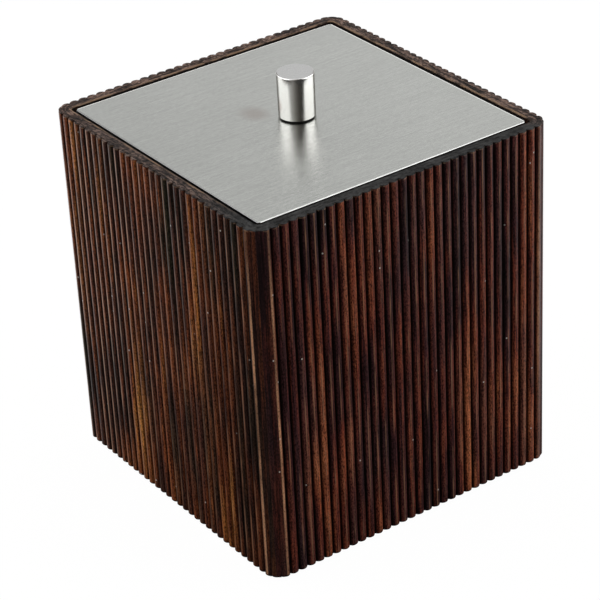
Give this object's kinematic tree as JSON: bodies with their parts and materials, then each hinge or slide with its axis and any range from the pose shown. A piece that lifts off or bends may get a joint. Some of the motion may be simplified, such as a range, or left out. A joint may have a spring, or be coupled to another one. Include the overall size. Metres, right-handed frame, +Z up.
{
  "type": "cosmetic container",
  "caption": "Square reeded dark-wood cosmetic box with a lift-out liner and a brushed-steel lid carrying a round knob.",
  "frame": {"origin": "under the middle of the box, on the plane that its four pads stand on", "axes": "+Z up through the knob, front wall towards -Y, +X to the right"},
  "size_m": [0.102, 0.102, 0.1257],
  "materials": {
    "reeded_wood": "dark stained and oiled, satin",
    "spline_wood": "bare, planed",
    "base_board": "dark stained fibreboard, matt",
    "felt": "pressed felt",
    "liner_plastic": "black moulded, satin",
    "brushed_steel": "brushed one way, along the front wall",
    "insert_board": "black, matt",
    "knob_steel": "finely turned, bright satin",
    "fibre": "black fibre",
    "zinc_plate": "bright zinc plate"
  },
  "bodies": {
    "case": {"front_wall": "reeded_wood", "right_wall": "reeded_wood", "back_wall": "reeded_wood", "left_wall": "reeded_wood", "spline_front_left": "spline_wood", "spline_front_right": "spline_wood", "spline_back_left": "spline_wood", "spline_back_right": "spline_wood", "base_board": "base_board", "foot_pad_front_left": "felt", "foot_pad_front_right": "felt", "foot_pad_back_left": "felt", "foot_pad_back_right": "felt"},
    "liner": {"liner": "liner_plastic"},
    "lid": {"lid_plate": "brushed_steel", "lid_insert": "insert_board", "knob": "knob_steel", "knob_washer": "fibre", "knob_screw": "zinc_plate", "screw_washer": "zinc_plate"}
  },
  "joints": [
    {"name": "liner_lift", "type": "slide", "parent": "case", "child": "liner", "axis": [0, 0, 1], "range_m": [0, 0.115]},
    {"name": "lid_lift", "type": "slide", "parent": "liner", "child": "lid", "axis": [0, 0, 1], "range_m": [0, 0.06]}
  ]
}
